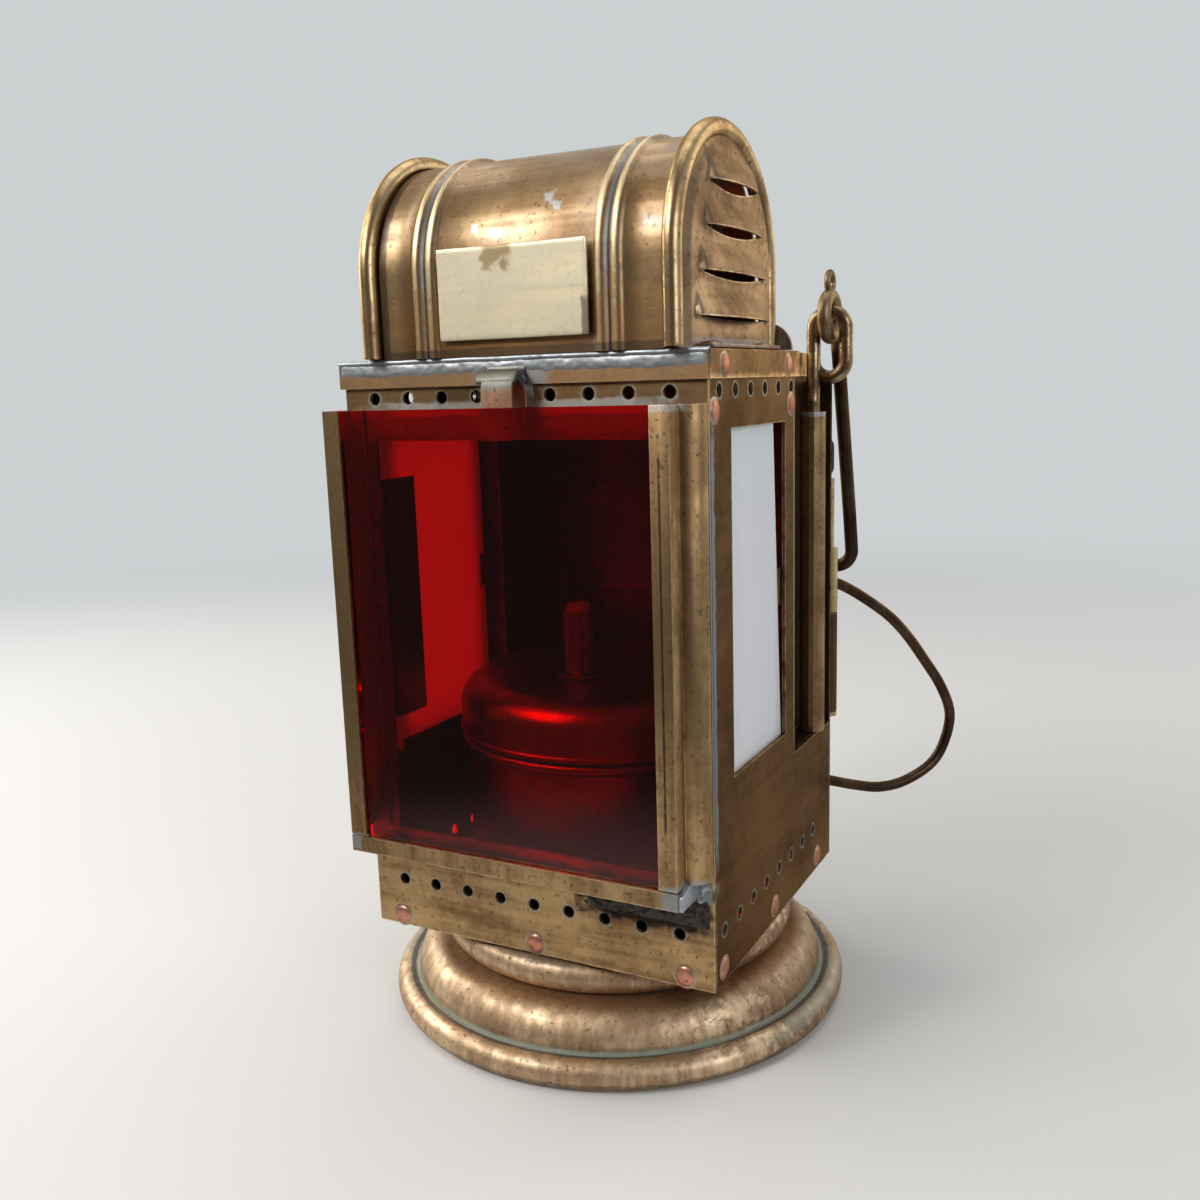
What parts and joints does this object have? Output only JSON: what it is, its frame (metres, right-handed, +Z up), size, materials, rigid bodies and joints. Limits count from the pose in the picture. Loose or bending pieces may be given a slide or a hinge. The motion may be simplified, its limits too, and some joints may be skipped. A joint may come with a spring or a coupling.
{
  "type": "railway signal hand lamp",
  "caption": "Square brass signal hand lamp with a barrel roof, sliding red front glass, opal side panes, oil font, rear door, wire grip and carrying bail on a round foot.",
  "frame": {"origin": "centre of the foot's underside, on the surface that the lamp stands on", "axes": "+Z up, -Y the side with the red glass, +X the lamp's right-hand side as seen in the picture"},
  "size_m": [0.1328, 0.1428, 0.213],
  "materials": {
    "aged_brass": "brown tarnish with golden worn edges",
    "scratched_brass": "paler, scratched and rubbed bright",
    "tinned_brass": "dull grey tinning and solder",
    "dark_wire": "dark brown drawn wire, worn smooth",
    "red_glass": "deep ruby, polished",
    "opal_glass": "milk white, smooth",
    "wick_cotton": "woven cotton"
  },
  "bodies": {
    "lamp": {"foot": "aged_brass", "foot_plate": "aged_brass", "front_sheet": "aged_brass", "side_sheet_left": "aged_brass", "side_sheet_right": "aged_brass", "rear_sheet": "aged_brass", "floor_plate": "aged_brass", "corner_recess_left": "aged_brass", "corner_recess_right": "aged_brass", "corner_tube_left": "aged_brass", "corner_tube_right": "aged_brass", "opal_pane_left": "opal_glass", "opal_pane_right": "opal_glass", "pane_guide_left": "aged_brass", "pane_guide_right": "aged_brass", "pane_ledge_left": "aged_brass", "pane_ledge_right": "aged_brass", "pane_clip_left": "aged_brass", "pane_clip_right": "aged_brass", "cap": "aged_brass", "dome_barrel": "aged_brass", "dome_end_left": "aged_brass", "dome_end_right": "aged_brass", "dome_ear_left": "tinned_brass", "dome_ear_right": "tinned_brass", "number_plate": "scratched_brass", "frame_channel_left": "aged_brass", "frame_channel_right": "aged_brass", "frame_rail": "aged_brass", "spring_tongue": "aged_brass", "font_tank": "aged_brass", "font_lid": "aged_brass", "wick_tube": "aged_brass", "wick": "wick_cotton", "ring_eye_left": "dark_wire", "ring_eye_right": "dark_wire", "hinge_leaf": "aged_brass", "hinge_pin": "scratched_brass", "pin_tab": "tinned_brass"},
    "glass": {"red_glass": "red_glass"},
    "door": {"door": "aged_brass", "door_knob": "aged_brass", "door_spring": "aged_brass"},
    "grip": {"grip": "dark_wire"},
    "bail": {"bail": "dark_wire"}
  },
  "joints": [
    {"name": "glass_slide", "type": "slide", "parent": "lamp", "child": "glass", "axis": [0, 0, 1], "range_m": [0, 0.094]},
    {"name": "door_hinge", "type": "hinge", "parent": "lamp", "child": "door", "pos_m": [0.045, 0.04615, 0.08], "axis": [0, 0, -1], "range_deg": [0, 110]},
    {"name": "grip_swing", "type": "hinge", "parent": "door", "child": "grip", "pos_m": [0.037, 0.04695, 0.07], "axis": [0, 0, 1], "range_deg": [-18, 130]},
    {"name": "bail_swing", "type": "hinge", "parent": "lamp", "child": "bail", "pos_m": [0, 0.03705, 0.1746], "axis": [1, 0, 0], "range_deg": [0, 205]}
  ]
}
